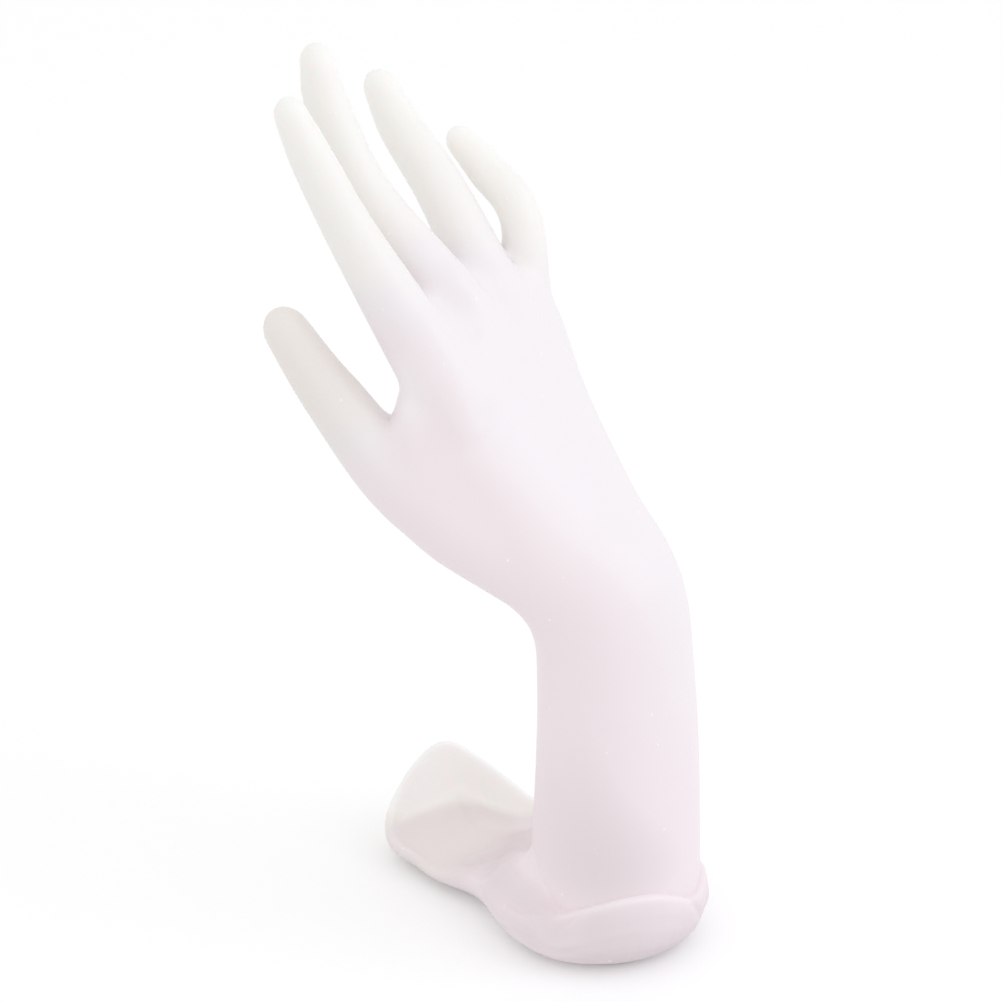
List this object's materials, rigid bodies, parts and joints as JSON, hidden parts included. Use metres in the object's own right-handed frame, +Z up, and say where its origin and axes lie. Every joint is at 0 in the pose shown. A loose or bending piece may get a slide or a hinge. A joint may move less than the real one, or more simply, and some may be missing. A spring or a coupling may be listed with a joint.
{
  "type": "hand jewelry stand",
  "caption": "Free-standing jewelry display: a slender cast hand with spread fingers for rings and bracelets, on a draped base that opens into a small ring dish.",
  "frame": {"origin": "on the table under the forearm's axis, in the plane of the felt", "axes": "+Z up along the forearm, -X the way the palm and the dish face, -Y the thumb's side"},
  "size_m": [0.1267, 0.0808, 0.2366],
  "materials": {
    "resin": "satin translucent cast resin, pale pink, ivory where it is thin",
    "insert_brass": "machined brass",
    "fixing_steel": "zinc plated steel",
    "felt": "pressed wool felt"
  },
  "bodies": {
    "root": {"hand": "resin", "draped_base": "resin", "threaded_insert": "insert_brass", "fixing_screw": "fixing_steel", "spring_washer": "fixing_steel", "flat_washer": "fixing_steel", "locating_pin": "fixing_steel", "felt_pad": "felt"}
  },
  "joints": []
}
